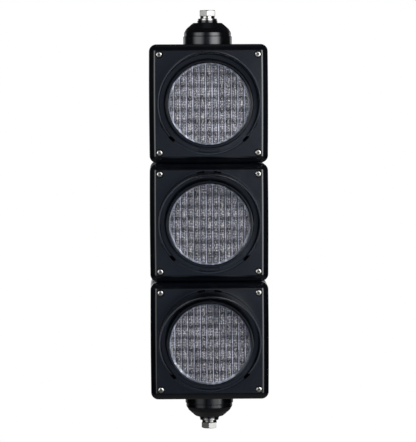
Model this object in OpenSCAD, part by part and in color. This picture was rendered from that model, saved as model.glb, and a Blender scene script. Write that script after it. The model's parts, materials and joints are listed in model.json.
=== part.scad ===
// Three-section traffic signal head on two M12 swivel ends.
// +Z is up, the lenses face -Y and X runs across the head.
// The origin is on the swivel axis, on the face of the lower collar, where the lower bracket clamps.

/* [Signal section] */
// Width of one section
section_w = 148; // [144:1:156]
// Height of one section
section_h = 147; // [144:0.5:152]
// Depth of the housing, from its back to the door joint
housing_depth = 92; // [80:1:100]
// Depth of the door, from the joint to its front face
door_depth = 16; // [15:0.5:20]
// Radius of the four corners, seen from the front
corner_r = 9; // [8.5:0.5:11]
// Radius of the door's front edge
front_edge_r = 7.5; // [5:0.5:8]
// Radius of the housing's back edge
back_edge_r = 5; // [4:0.5:7]
// Thickness of the moulded walls
wall = 3; // [2.6:0.2:3.2]
// Thickness of the door's front plate
door_plate = 3.4; // [3.2:0.1:4]

/* [Lens unit] */
// Diameter of the lens that shows inside the bezel
lens_view_d = 100; // [96:1:101]
// How far the bezel's rim stands in front of the door
bezel_stand = 27.6; // [20:0.2:32]
// Thickness of the lens disc
lens_t = 3; // [2:0.5:4]
// Distance between the lens flutes, and between columns of diodes
flute_pitch = 7.9; // [7:0.1:9]
// Distance between rows of diodes
diode_row_pitch = 14.5; // [8:0.5:16]
// Diameter of one diode
diode_d = 5; // [3:0.5:5]

/* [Visor] */
// Outer diameter of the visor
visor_d = 127.2; // [126:0.2:128]
// Thickness of the visor
visor_wall = 2.2; // [1.8:0.1:2.4]
// Angle that the visor wraps, open at the bottom
visor_span = 260; // [240:5:280]
// Reach of the visor in front of the door, at the top
visor_reach = 75; // [50:1:110]
// Reach of the visor at its two lower ends
visor_end_reach = 3; // [1:0.5:10]
// Turn that frees the visor from its bayonet, to either side
visor_twist = 9; // [6:0.5:10]

/* [Door screws] */
// Distance between the screws across the door
screw_dx = 122.2; // [120:0.2:124]
// Distance between the screws up the door
screw_dz = 121.4; // [119:0.2:123]
// Thread diameter of the door screws
screw_d = 4; // [3:0.5:4]
// Length of a door screw under its head
screw_len = 22; // [18:1:24]

/* [Coupling] */
// Thickness of the gasket between two sections
gasket_t = 1; // [1:0.5:5]
// Width of the gasket
gasket_w = 107; // [100:1:120]
// Diameter of the wire hole between two sections
wire_hole_d = 30; // [24:1:32]
// Distance between the coupling bolts across the head
coupling_dx = 84; // [70:1:88]
// Distance between the coupling bolts front to back
coupling_dy = 28; // [26:1:32]

/* [Swivel ends] */
// Thread diameter of the bracket bolt
bolt_d = 12; // [10:1:12]
// Width of the bolt's hex across its flats
bolt_af = 19; // [17:1:19]
// Height of the bolt's head
bolt_head_h = 7.5; // [6:0.5:8]
// Length of the bolt under its head
bolt_len = 55; // [53:1:65]
// Diameter of the base ring
base_ring_d = 61.1; // [58:0.1:66]
// Height of the base ring
base_ring_h = 10.4; // [8:0.1:12]
// Diameter of the cap at its foot
cap_d = 58.9; // [54:0.1:60]
// Height of the cap
cap_h = 16.85; // [15:0.05:20]
// Diameter of the collar that the bracket seats on
collar_d = 25.3; // [24:0.1:30]
// Height of the collar
collar_h = 2.9; // [2:0.1:5]

/* [Cable gland] */
// Diameter of the supply cable's hole
cable_d = 8; // [6:0.5:8.5]
// Drop of the gland below the middle of the lower section
gland_drop = 34; // [30:1:40]

/* [Hidden] */
$fn = 96;

// Clearances
slip = 0.05;         // faces that slide on each other
running = 0.08;      // a shaft or an edge that turns in its bore or groove
groove_gap = 0.15;   // a thin wall that turns in its groove
overlap = 1;         // how far a cutter runs past the face that it opens

// Depths are measured forward from the swivel axis, which is at mid-depth
face_a = (housing_depth + door_depth) / 2;
joint_a = face_a - door_depth;
back_a = joint_a - housing_depth;
plate_a = face_a - door_plate;

// Heights
pitch = section_h + gasket_t;
swivel_stack = base_ring_h + slip + cap_h + collar_h;
bottom_z = swivel_stack;
top_z = bottom_z + 2 * pitch + section_h;
LOWER = bottom_z + section_h / 2;
MIDDLE = LOWER + pitch;
UPPER = MIDDLE + pitch;
SECTIONS = [LOWER, MIDDLE, UPPER];

// Door joint
rim_w = 2 * wall;
rim_d = 4;
seal_w = 2.4;
seal_inset = 1.8;
seal_in_door = 0.8;
seal_in_housing = 1.6;
post_r = 6.5;
post_len = 20;
screw_head_d = 1.9 * screw_d;
screw_head_h = 2.2;
screw_sink = 1.2;
insert_r = 2.9;
insert_len = 9;

// Lens unit, as radii about the lens axis
lens_view_r = lens_view_d / 2;
lens_r = lens_view_r + 2;
lip_t = 2;
bezel_bore_r = lens_r + 0.1;
bezel_r = bezel_bore_r + 1.4;
rim_a = face_a + bezel_stand;
lens_a = rim_a - lip_t;
lens_back_a = lens_a - lens_t;
flute_depth = 3.6;
flute_r = 5;
nub_reach = 1.3;
opening_r = bezel_r + 1.7;
flange_r = 60;
module_seal_t = 1;
flange_t = 2.5;
bezel_flange_a = plate_a - module_seal_t;
cup_flange_a = bezel_flange_a - flange_t;
cup_back_a = face_a - 20;
cup_wall = 2.5;
cup_r = bezel_bore_r - 0.2;
cup_bore_r = cup_r - cup_wall;
cup_rear_r = flange_r - 10.5;
ledge_a = face_a + 7;
ledge_r = cup_bore_r - 2.9;
board_t = 1.6;
diode_h = 8.6;
diode_field_r = 46;
ear_r = 66;
ear_pad_r = 3.6;
EAR_ANGLES = [45, 135, 250, 290];
module_screw_r = 1.48;
module_screw_end_a = plate_a + 2.2;

// Visor and its bayonet
visor_r = visor_d / 2;
visor_in_r = visor_r - visor_wall;
groove_depth = 1.5;
lug_half = 4;
LUG_ANGLES = [90, -34, 214];
neck_r = visor_r - 0.3;
neck_in_r = visor_in_r + 0.3;
foot_reach = 1.2;
foot_t = 2;
slot_half = lug_half + visor_twist + 0.5;
window_from = lug_half + 1;
end_z = visor_r * sin(90 - visor_span / 2);

// Coupling and swivel
gasket_front = -20;
gasket_back = 34;
coupling_r = 2.5;
coupling_hex_af = 8;
coupling_head_h = 3.5;
coupling_nut_h = 4;
bolt_r = bolt_d / 2;
bolt_turn = 26;      // brings a corner of the head to the front
hole_r = bolt_r + 0.5;
washer_t = 2.5;
washer_r = 12;
spring_t = 3.1;
spring_r = 9.2;
plate_t = 3;
nut_h = 10;

// Gland, with depths measured back from the swivel axis
gland_z = LOWER - gland_drop;
back_y = -back_a;
gland_thread_r = 8;
gland_collar_a = 6;
gland_bore_r = 5;
gland_seat_r = 6.7;
gland_seal_len = 9;

// Terminal block and looms
block_w = 36;
block_d = 12;
block_h = 12;
block_z = LOWER + 5;
block_way = 6.6;
loom_r = 2.2;
loom_gap = 6;
loom_back_y = 5;

function across_corners(af) = af / cos(30) / 2;

// ---- Shapes that repeat ----

// Turns a shape drawn upwards into one that reaches forward (-Y), with its y axis up
module facing_front(z) {
    translate([0, 0, z]) rotate([90, 0, 0]) children();
}

// Solid of revolution about a lens axis, from a profile in radius and forward depth
module about_lens(z) {
    facing_front(z) rotate_extrude() children();
}

// Arc of a ring about a lens axis, centred on an angle from +X towards +Z
module ring_arc(mid, half, r0, r1, a0, a1) {
    rotate([0, 0, mid - half])
        rotate_extrude(angle = 2 * half)
            translate([r0, a0]) square([r1 - r0, a1 - a0]);
}

// Quarter of a disc
module quarter(r) {
    intersection() {
        circle(r);
        square(r);
    }
}

module rounded_rect(w, h, r) {
    ix = w / 2 - r;
    iy = h / 2 - r;
    square([2 * ix, h], center = true);
    for (side = [-1, 1])
        translate([side * (ix + r / 2), 0]) square([r, 2 * iy], center = true);
    for (mx = [0, 1], my = [0, 1])
        mirror([mx, 0]) mirror([0, my]) translate([ix, iy]) quarter(r);
}

// Section through a slab's edge: reach outwards, depth upwards, outer top corner rounded
module edge_profile(reach, d, round) {
    square([reach - round, d]);
    translate([reach - round, 0]) square([round, d - round]);
    translate([reach - round, d - round]) quarter(round);
}

// Slab from z = 0 to z = d with rounded corners and a rounded upper edge
module soft_slab(w, h, d, corner, round) {
    ix = w / 2 - corner;
    iy = h / 2 - corner;
    translate([-ix, -iy, 0]) cube([2 * ix, 2 * iy, d]);
    for (turn = [0, 180]) {
        rotate([0, 0, turn]) translate([ix, iy, 0]) rotate([90, 0, 0])
            linear_extrude(2 * iy) edge_profile(corner, d, round);
        rotate([0, 0, turn + 90]) translate([iy, ix, 0]) rotate([90, 0, 0])
            linear_extrude(2 * ix) edge_profile(corner, d, round);
    }
    for (mx = [0, 1], my = [0, 1])
        mirror([mx, 0, 0]) mirror([0, my, 0]) translate([ix, iy, 0])
            rotate_extrude(angle = 90) edge_profile(corner, d, round);
}

// Moulded tray that is open at z = 0, with a thicker rim round its mouth
module tray(d, floor_t, round) {
    difference() {
        soft_slab(section_w, section_h, d, corner_r, round);
        translate([0, 0, rim_d])
            soft_slab(section_w - 2 * wall, section_h - 2 * wall, d - floor_t - rim_d,
                corner_r - wall, max(round - wall, 0.5));
        translate([0, 0, -overlap]) linear_extrude(rim_d + 2 * overlap)
            rounded_rect(section_w - 2 * rim_w, section_h - 2 * rim_w, corner_r - rim_w);
    }
}

// Ring that follows the door joint, in plan
module seal_outline() {
    difference() {
        rounded_rect(section_w - 2 * seal_inset, section_h - 2 * seal_inset,
            corner_r - seal_inset);
        rounded_rect(section_w - 2 * (seal_inset + seal_w), section_h - 2 * (seal_inset + seal_w),
            corner_r - seal_inset - seal_w);
    }
}

// Puts its child at the four door screws of a section
module at_screws() {
    for (mx = [0, 1], my = [0, 1])
        mirror([mx, 0, 0]) mirror([0, my, 0]) translate([screw_dx / 2, screw_dz / 2, 0]) children();
}

// Post in each corner, tied to both walls over the first part of its length
module corner_posts(len, tie_len) {
    tie_x = section_w / 2 - wall + 0.2 - screw_dx / 2;
    tie_y = section_h / 2 - wall + 0.2 - screw_dz / 2;
    at_screws() {
        cylinder(r = post_r, h = len);
        cube([tie_x, tie_y, tie_len]);
    }
}

// Puts its child at the four ears that hold a lens unit
module at_ears() {
    for (angle = EAR_ANGLES)
        rotate([0, 0, angle]) translate([ear_r, 0, 0]) children();
}

// Four ears on a flange, from a0 to a1
module ears(a0, a1) {
    at_ears() translate([0, 0, a0]) {
        cylinder(r = ear_pad_r, h = a1 - a0);
        translate([flange_r - ear_r - 2, -3, 0]) cube([ear_r - flange_r + 2, 6, a1 - a0]);
    }
}

module hex(af, h) {
    cylinder(r = across_corners(af), h = h, $fn = 6);
}

// Hex with its upper corners turned down
module turned_hex(af, h) {
    r = across_corners(af);
    intersection() {
        hex(af, h);
        cylinder(r1 = r + 2 * h, r2 = r - 1.1, h = h);
    }
}

module washer(outer, inner, t) {
    difference() {
        cylinder(r = outer, h = t);
        translate([0, 0, -overlap]) cylinder(r = inner, h = t + 2 * overlap);
    }
}

// Stands its child on the top of the head, with z = 0 on the housing
module at_top() {
    translate([0, 0, top_z]) children();
}

// The same, hanging from the bottom of the head
module at_bottom() {
    translate([0, 0, bottom_z]) mirror([0, 0, 1]) children();
}

// ---- One signal section ----

module housing(z, joined_above, joined_below) {
    color("#16181c") difference() {
        union() {
            translate([0, -joint_a, z]) rotate([-90, 0, 0]) tray(housing_depth, wall, back_edge_r);
            translate([0, -joint_a, z]) rotate([-90, 0, 0])
                corner_posts(post_len, post_len - 2);
        }
        // seal groove
        facing_front(z) translate([0, 0, joint_a - seal_in_housing])
            linear_extrude(seal_in_housing + overlap) seal_outline();
        // insert pockets
        facing_front(z) at_screws() translate([0, 0, joint_a - insert_len - 7])
            cylinder(r = insert_r, h = insert_len + 7 + overlap);
        // wire holes in both ends
        translate([0, 0, z - section_h]) cylinder(d = wire_hole_d, h = 2 * section_h);
        if (joined_above) translate([0, 0, z]) coupling_holes();
        if (joined_below) translate([0, 0, z]) mirror([0, 0, 1]) coupling_holes();
        if (z == LOWER)
            translate([0, back_y - 2 * wall, gland_z]) rotate([-90, 0, 0])
                cylinder(r = gland_thread_r + 0.1, h = 3 * wall);
    }
}

module coupling_holes() {
    at_coupling() translate([0, 0, section_h / 2 - 2 * wall]) cylinder(r = coupling_r + 0.25, h = 3 * wall);
}

module door(z) {
    color("#1b1d22") difference() {
        union() {
            facing_front(z) translate([0, 0, joint_a]) tray(door_depth, door_plate, front_edge_r);
            facing_front(z) translate([0, 0, joint_a])
                corner_posts(door_depth - door_plate + 0.2, door_depth - front_edge_r + 1);
            facing_front(z) at_ears() translate([0, 0, bezel_flange_a])
                cylinder(r = ear_pad_r, h = module_seal_t + 0.2);
            facing_front(z) ring_arc(270, 12.5, opening_r + 1.2, visor_in_r - 0.9,
                face_a - 0.5, face_a + 1.5);
        }
        // seal groove
        facing_front(z) translate([0, 0, joint_a - overlap])
            linear_extrude(seal_in_door + overlap) seal_outline();
        // screw holes, sunk so that the heads sit low
        facing_front(z) at_screws() {
            translate([0, 0, joint_a - overlap])
                cylinder(r = screw_d / 2 + 0.2, h = door_depth + 2 * overlap);
            translate([0, 0, face_a - screw_sink]) cylinder(r = screw_head_d / 2 + 0.5, h = 2 * screw_sink);
        }
        // opening for the bezel
        facing_front(z) translate([0, 0, joint_a]) cylinder(r = opening_r, h = door_depth + 2 * overlap);
        // pilot holes for the screws of the lens unit
        facing_front(z) at_ears() translate([0, 0, bezel_flange_a - overlap])
            cylinder(r = module_screw_r + 0.02, h = module_screw_end_a - bezel_flange_a + overlap + 0.1);
        // groove that the visor's foot sits in
        about_lens(z) translate([visor_in_r - groove_gap, face_a - groove_depth])
            square([visor_wall + 2 * groove_gap, groove_depth + overlap]);
        facing_front(z) bayonet_slots();
    }
}

// Slots through the door: narrow where the visor locks, wide at both ends where its feet pass
module bayonet_slots() {
    window_half = (slot_half - window_from) / 2;
    for (angle = LUG_ANGLES) {
        ring_arc(angle, slot_half - 0.1, neck_in_r - groove_gap, neck_r + groove_gap,
            plate_a - overlap, face_a);
        for (side = [-1, 1])
            ring_arc(angle + side * (window_from + window_half), window_half,
                neck_in_r - 0.25, visor_r + foot_reach + 0.2, plate_a - 2, face_a + overlap);
    }
}

module door_seal(z) {
    color("#0b0b0c") facing_front(z) translate([0, 0, joint_a - seal_in_housing])
        linear_extrude(seal_in_housing + seal_in_door) seal_outline();
}

module visor(z) {
    rise = atan2(visor_reach - visor_end_reach, visor_r - end_z);
    far = 4 * visor_r;
    color("#131519") facing_front(z) difference() {
        union() {
            ring_arc(90, visor_span / 2, visor_in_r, visor_r,
                face_a - groove_depth + slip, face_a + visor_reach + overlap);
            for (angle = LUG_ANGLES) {
                ring_arc(angle, lug_half, neck_in_r, neck_r,
                    plate_a - slip - foot_t + 0.5, face_a - groove_depth + 1.5);
                ring_arc(angle, lug_half - 0.1, neck_in_r + 0.1, visor_r + foot_reach,
                    plate_a - slip - foot_t, plate_a - slip);
            }
        }
        // slanting front: long over the lens, short at the open bottom
        translate([0, end_z, face_a + visor_end_reach]) rotate([rise, 0, 0])
            translate([-far / 2, -far / 2, 0]) cube([far, 2 * far, far]);
    }
}

module bezel(z) {
    color("#101114") difference() {
        union() {
            about_lens(z) polygon([
                [lens_view_r, lens_a], [lens_view_r, rim_a], [bezel_r - 0.6, rim_a],
                [bezel_r, rim_a - 0.6], [bezel_r, bezel_flange_a], [flange_r, bezel_flange_a],
                [flange_r, cup_flange_a], [bezel_bore_r, cup_flange_a], [bezel_bore_r, lens_a]
            ]);
            facing_front(z) ears(cup_flange_a, bezel_flange_a);
            for (angle = [0 : 45 : 315])
                facing_front(z) rotate([0, 0, angle]) translate([bezel_r - 0.5, -1.6, rim_a - 9])
                    cube([nub_reach + 0.5, 3.2, 6]);
        }
        facing_front(z) at_ears() translate([0, 0, cup_flange_a - overlap])
            cylinder(r = module_screw_r + 0.2, h = flange_t + 2 * overlap);
    }
}

module module_seal(z) {
    color("#0b0b0c") about_lens(z) translate([opening_r + 0.4, bezel_flange_a])
        square([flange_r - opening_r - 0.4, module_seal_t]);
}

module lens(z) {
    columns = floor((cup_bore_r - 2) / flute_pitch);
    color([0.86, 0.87, 0.92, 0.6]) facing_front(z) {
        translate([0, 0, lens_back_a]) cylinder(r = lens_r, h = lens_t);
        intersection() {
            translate([0, 0, lens_back_a - flute_depth])
                cylinder(r = cup_bore_r - 0.2, h = flute_depth + 0.2);
            for (column = [-columns : columns])
                translate([column * flute_pitch, lens_r, lens_back_a - flute_depth + flute_r])
                    rotate([90, 0, 0]) cylinder(r = flute_r, h = 2 * lens_r);
        }
    }
}

module led_board(z) {
    color("#e8e9e6") facing_front(z) {
        translate([0, 0, ledge_a]) cylinder(r = cup_bore_r - 0.2, h = board_t);
        // driver parts behind the board
        translate([-24, 4, ledge_a - 11]) cube([22, 17, 11.2]);
        translate([14, 12, ledge_a - 14]) cylinder(d = 12.5, h = 14.2);
        translate([-20, -22, ledge_a - 7]) cube([14, 9, 7.2]);
        translate([4, -24, ledge_a - 9]) cube([20, 12, 9.2]);
    }
}

module diodes(z) {
    tip_r = diode_d / 2;
    columns = floor(diode_field_r / flute_pitch);
    rows = floor(diode_field_r / diode_row_pitch);
    color("#d9dadf") facing_front(z)
        for (i = [-columns : columns], j = [-rows : rows])
            if (norm([i * flute_pitch, j * diode_row_pitch]) < diode_field_r)
                translate([i * flute_pitch, j * diode_row_pitch, ledge_a + board_t])
                    rotate_extrude() edge_profile(tip_r, diode_h, tip_r - 0.01);
}

module lamp_cup(z) {
    color("#1c1e22") difference() {
        union() {
            about_lens(z) polygon([
                [cup_bore_r, lens_back_a], [cup_r, lens_back_a], [cup_r, cup_flange_a],
                [flange_r, cup_flange_a], [flange_r, cup_flange_a - flange_t],
                [cup_rear_r, cup_flange_a - flange_t], [cup_rear_r, cup_back_a], [0, cup_back_a],
                [0, cup_back_a + 2], [ledge_r, cup_back_a + 2], [ledge_r, ledge_a],
                [cup_bore_r, ledge_a]
            ]);
            facing_front(z) ears(cup_flange_a - flange_t, cup_flange_a);
        }
        facing_front(z) at_ears() translate([0, 0, cup_flange_a - flange_t - overlap])
            cylinder(r = module_screw_r + 0.2, h = flange_t + 2 * overlap);
        // one hole for the loom at each place that a loom can leave by
        for (side = [-1 : 1])
            facing_front(z) translate([side * loom_gap, 0, cup_back_a - overlap])
                cylinder(r = loom_r + 0.3, h = 2 + 2 * overlap);
    }
}

// ---- Fasteners of the sections ----

module door_screws() {
    r = screw_head_d / 2;
    h = screw_head_h;
    color("#d8d6d2") for (z = SECTIONS)
        facing_front(z) at_screws() translate([0, 0, face_a - screw_sink]) difference() {
            union() {
                rotate_extrude() polygon([
                    [0, 0], [r, 0], [r, 0.35 * h], [0.92 * r, 0.68 * h], [0.72 * r, 0.92 * h],
                    [0.55 * r, h], [0, h]
                ]);
                translate([0, 0, -screw_len]) cylinder(r = screw_d / 2 - 0.05, h = screw_len + 0.1);
            }
            translate([0, 0, h - 1.4]) hex(2.5, 2);
        }
}

module screw_inserts() {
    color("#b8963e") for (z = SECTIONS)
        facing_front(z) at_screws() translate([0, 0, joint_a - insert_len - 0.2])
            washer(insert_r - 0.02, screw_d / 2, insert_len);
}

module module_screws() {
    head_a = cup_flange_a - flange_t;
    color("#c9c8c4") for (z = SECTIONS)
        facing_front(z) at_ears() {
            translate([0, 0, head_a]) cylinder(r = module_screw_r, h = module_screw_end_a - head_a);
            difference() {
                translate([0, 0, head_a - 2]) cylinder(r = 2.75, h = 2);
                translate([-3, -0.4, head_a - 2 - overlap]) cube([6, 0.8, overlap + 0.9]);
            }
        }
}

// Puts its child at the four coupling bolts
module at_coupling() {
    for (mx = [0, 1], my = [0, 1])
        mirror([mx, 0, 0]) mirror([0, my, 0])
            translate([coupling_dx / 2, coupling_dy / 2, 0]) children();
}

module coupling_gasket(z) {
    color("#0e0f11") translate([0, 0, z + section_h / 2]) difference() {
        translate([0, (gasket_front + gasket_back) / 2, 0]) linear_extrude(gasket_t)
            rounded_rect(gasket_w, gasket_back - gasket_front, 4);
        translate([0, 0, -overlap]) cylinder(d = wire_hole_d, h = gasket_t + 2 * overlap);
        translate([0, 0, -overlap]) at_coupling()
            cylinder(r = coupling_r + 0.25, h = gasket_t + 2 * overlap);
    }
}

module coupling_bolts() {
    grip = gasket_t + 2 * wall;
    color("#c9c8c4") for (z = [LOWER, MIDDLE])
        translate([0, 0, z + section_h / 2 - wall]) at_coupling() {
            translate([0, 0, grip]) turned_hex(coupling_hex_af, coupling_head_h);
            translate([0, 0, -coupling_nut_h - 1.5])
                cylinder(r = coupling_r, h = grip + coupling_nut_h + 1.6);
        }
}

module coupling_nuts() {
    color("#c9c8c4") for (z = [LOWER, MIDDLE])
        translate([0, 0, z + section_h / 2 - wall - coupling_nut_h]) at_coupling() difference() {
            turned_hex(coupling_hex_af, coupling_nut_h);
            translate([0, 0, -overlap]) cylinder(r = coupling_r + 0.02, h = coupling_nut_h + 2 * overlap);
        }
}

// ---- Swivel ends, drawn upwards from the face of the housing ----

module base_ring() {
    r = base_ring_d / 2;
    spigot_r = wire_hole_d / 2 - 0.1;
    color("#15171b") rotate_extrude() polygon([
        [bolt_r + running, -wall], [spigot_r, -wall], [spigot_r, 0], [spigot_r + 2, 0],
        [spigot_r + 2, base_ring_h - 4], [r - 4, base_ring_h - 4], [r - 4, 0], [r, 0],
        [r, base_ring_h - 0.5], [r - 0.5, base_ring_h], [bolt_r + running, base_ring_h]
    ]);
}

module cap() {
    r = cap_d / 2;
    foot = base_ring_h + slip;
    color("#15171b") rotate_extrude() polygon([
        [hole_r, foot], [hole_r + 4, foot], [hole_r + 4, foot + cap_h - 5],
        [hole_r + 9, foot + cap_h - 5], [r - 4, foot + 3], [r - 4, foot], [r, foot],
        [r, foot + 3.85], [r - 0.7, foot + 5.15], [r - 10.4, foot + cap_h - 1.6],
        [r - 10.9, foot + cap_h - 0.6], [r - 11.6, foot + cap_h], [hole_r, foot + cap_h]
    ]);
}

module collar() {
    r = collar_d / 2;
    foot = base_ring_h + slip + cap_h;
    color("#121316") rotate_extrude() polygon([
        [hole_r, foot], [r, foot], [r, foot + collar_h - 0.4], [r - 0.4, foot + collar_h],
        [hole_r, foot + collar_h]
    ]);
}

module flat_washer() {
    color("#d3d2ce") translate([0, 0, swivel_stack]) washer(washer_r, hole_r, washer_t);
}

module spring_washer() {
    color("#c6c5c1") translate([0, 0, swivel_stack + washer_t]) difference() {
        washer(spring_r, bolt_r + 0.1, spring_t);
        translate([0, 0, spring_t / 2]) rotate([20, 0, 0]) translate([0, -0.8, -spring_t])
            cube([2 * spring_r, 1.6, 2 * spring_t]);
    }
}

module bracket_bolt() {
    seat = swivel_stack + washer_t + spring_t;
    color("#dcdad6") {
        translate([0, 0, seat]) rotate([0, 0, bolt_turn]) turned_hex(bolt_af, bolt_head_h);
        translate([0, 0, seat - bolt_len]) cylinder(r = bolt_r, h = bolt_len + 0.1);
    }
}

module bolt_nut() {
    color("#c6c5c1") translate([0, 0, -wall - plate_t - slip - nut_h]) difference() {
        turned_hex(bolt_af, nut_h);
        translate([0, 0, -overlap]) cylinder(r = bolt_r + 0.02, h = nut_h + 2 * overlap);
    }
}

module clamp_plate() {
    color("#b9b9b5") translate([0, 0, -wall - plate_t]) difference() {
        linear_extrude(plate_t) rounded_rect(60, 32, 3);
        translate([0, 0, -overlap]) cylinder(r = hole_r, h = plate_t + 2 * overlap);
    }
}

// ---- Cable entry and wiring ----

// Turns a shape drawn upwards into one that reaches back (+Y) on the gland's axis
module at_gland(y) {
    translate([0, y, gland_z]) rotate([-90, 0, 0]) children();
}

module gland_body() {
    color("#17181a") difference() {
        union() {
            at_gland(back_y - 10) cylinder(r = gland_thread_r, h = 11);
            at_gland(back_y) hex(20, 4);
            at_gland(back_y + 3) cylinder(r = gland_thread_r + 0.4, h = gland_collar_a - 3);
        }
        at_gland(back_y - 11) cylinder(r = gland_bore_r, h = gland_collar_a + 11 + overlap);
    }
}

module gland_seal() {
    color("#0b0b0c") at_gland(back_y + gland_collar_a)
        washer(gland_seat_r - 0.15, cable_d / 2, gland_seal_len);
}

module gland_cap() {
    seal_end = gland_collar_a + gland_seal_len + 0.1;
    color("#17181a") difference() {
        union() {
            at_gland(back_y + 4.5) hex(21, 8);
            at_gland(back_y + 12) cylinder(r1 = 9.6, r2 = 7.2, h = 6);
        }
        at_gland(back_y + 3) cylinder(r = gland_thread_r + 0.5, h = gland_collar_a - 3 + 0.1);
        at_gland(back_y + gland_collar_a) cylinder(r = gland_seat_r, h = seal_end - gland_collar_a);
        at_gland(back_y + gland_collar_a) cylinder(r = gland_bore_r, h = 14);
    }
}

module gland_lock_nut() {
    color("#17181a") at_gland(back_y - wall - 5) difference() {
        hex(22, 5);
        translate([0, 0, -overlap]) cylinder(r = gland_thread_r + 0.05, h = 5 + 2 * overlap);
    }
}

module terminal_block() {
    color("#e4e2da") difference() {
        translate([-block_w / 2, back_y - wall - block_d, block_z]) cube([block_w, block_d, block_h]);
        for (i = [-2 : 2])
            translate([i * block_way, back_y - wall - block_d - overlap, block_z + block_h / 2])
                rotate([-90, 0, 0]) cylinder(r = 2, h = 4 + overlap);
    }
}

// Straight run of a loom with a rounded knuckle at its far end
module loom_run(from, to) {
    run = to - from;
    length = norm(run);
    translate(from) rotate([0, acos(run[2] / length), atan2(run[1], run[0])])
        cylinder(r = loom_r, h = length);
    translate(to) sphere(loom_r + 0.15);
}

// One loom: out of a lamp cup, down behind the cups and into the terminal block
module loom(z, x) {
    top = block_z + block_h;
    path = [
        [x, -cup_back_a - 1, z],
        [x, loom_back_y, z],
        [x, loom_back_y, top + 14],
        [x, back_y - wall - block_d / 2, top + 7],
        [x, back_y - wall - block_d / 2, top + 2.4]
    ];
    for (i = [0 : len(path) - 2])
        loom_run(path[i], path[i + 1]);
}

module wiring_looms() {
    color("#8a1f1c") loom(UPPER, -loom_gap);
    color("#c98a18") loom(MIDDLE, 0);
    color("#1f6b3a") loom(LOWER, loom_gap);
}

// ---- Named sub-parts ----

housing(UPPER, false, true);  // upper_housing
door(UPPER);  // upper_door
door_seal(UPPER);  // upper_door_seal
visor(UPPER);  // upper_visor
bezel(UPPER);  // upper_bezel
lens(UPPER);  // upper_lens
module_seal(UPPER);  // upper_module_seal
led_board(UPPER);  // upper_led_board
diodes(UPPER);  // upper_leds
lamp_cup(UPPER);  // upper_lamp_cup
housing(MIDDLE, true, true);  // middle_housing
door(MIDDLE);  // middle_door
door_seal(MIDDLE);  // middle_door_seal
visor(MIDDLE);  // middle_visor
bezel(MIDDLE);  // middle_bezel
lens(MIDDLE);  // middle_lens
module_seal(MIDDLE);  // middle_module_seal
led_board(MIDDLE);  // middle_led_board
diodes(MIDDLE);  // middle_leds
lamp_cup(MIDDLE);  // middle_lamp_cup
housing(LOWER, true, false);  // lower_housing
door(LOWER);  // lower_door
door_seal(LOWER);  // lower_door_seal
visor(LOWER);  // lower_visor
bezel(LOWER);  // lower_bezel
lens(LOWER);  // lower_lens
module_seal(LOWER);  // lower_module_seal
led_board(LOWER);  // lower_led_board
diodes(LOWER);  // lower_leds
lamp_cup(LOWER);  // lower_lamp_cup
door_screws();
screw_inserts();
module_screws();
coupling_gasket(MIDDLE);  // upper_coupling_gasket
coupling_gasket(LOWER);  // lower_coupling_gasket
coupling_bolts();
coupling_nuts();
at_top() base_ring();  // top_base_ring
at_top() cap();  // top_cap
at_top() collar();  // top_collar
at_top() flat_washer();  // top_flat_washer
at_top() spring_washer();  // top_spring_washer
at_top() bracket_bolt();  // top_bolt
at_top() bolt_nut();  // top_nut
at_top() clamp_plate();  // top_clamp_plate
at_bottom() base_ring();  // bottom_base_ring
at_bottom() cap();  // bottom_cap
at_bottom() collar();  // bottom_collar
at_bottom() flat_washer();  // bottom_flat_washer
at_bottom() spring_washer();  // bottom_spring_washer
at_bottom() bracket_bolt();  // bottom_bolt
at_bottom() bolt_nut();  // bottom_nut
at_bottom() clamp_plate();  // bottom_clamp_plate
gland_body();
gland_seal();
gland_cap();
gland_lock_nut();
terminal_block();
wiring_looms();
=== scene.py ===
"""Looks of the three-section traffic signal head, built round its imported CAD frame."""

import json
import math
import random

import bmesh
import bpy
from mathutils import Matrix, Vector


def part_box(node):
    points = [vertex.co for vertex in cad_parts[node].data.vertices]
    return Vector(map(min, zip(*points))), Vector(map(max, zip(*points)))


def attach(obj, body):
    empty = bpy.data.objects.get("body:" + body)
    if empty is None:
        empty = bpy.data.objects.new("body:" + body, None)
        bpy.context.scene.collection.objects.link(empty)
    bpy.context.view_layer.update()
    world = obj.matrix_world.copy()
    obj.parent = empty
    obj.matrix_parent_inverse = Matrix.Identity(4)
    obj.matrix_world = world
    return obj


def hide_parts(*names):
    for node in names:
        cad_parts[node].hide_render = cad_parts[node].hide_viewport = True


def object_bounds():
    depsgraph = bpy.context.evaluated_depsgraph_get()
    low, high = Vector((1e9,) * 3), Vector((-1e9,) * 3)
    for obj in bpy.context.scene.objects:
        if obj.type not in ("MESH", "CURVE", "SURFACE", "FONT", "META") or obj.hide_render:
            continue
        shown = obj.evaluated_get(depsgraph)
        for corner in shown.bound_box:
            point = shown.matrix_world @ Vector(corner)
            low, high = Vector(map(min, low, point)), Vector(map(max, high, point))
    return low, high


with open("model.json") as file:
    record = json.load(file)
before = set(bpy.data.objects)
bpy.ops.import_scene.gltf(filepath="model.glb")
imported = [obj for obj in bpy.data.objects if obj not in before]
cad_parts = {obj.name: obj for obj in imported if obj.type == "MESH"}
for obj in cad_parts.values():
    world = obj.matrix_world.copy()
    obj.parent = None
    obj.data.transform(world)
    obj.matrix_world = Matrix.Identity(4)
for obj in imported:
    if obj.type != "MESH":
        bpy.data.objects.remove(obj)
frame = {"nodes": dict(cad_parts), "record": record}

cad_low, cad_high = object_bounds()
MM = 0.001
SECTIONS = ("upper", "middle", "lower")
random.seed(7)


# Door and housing
DOOR_DEPTH = 16 * MM
PLATE = 3.4 * MM
WALL = 3.0 * MM
CORNER_R = 9.0 * MM
BACK_R = 5.0 * MM
JOINT_EDGE = 0.35 * MM
LEDGE = 4 * MM
# How much the sides draw in towards the corners, as a share of the half width
CROWN = 0.006
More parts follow.
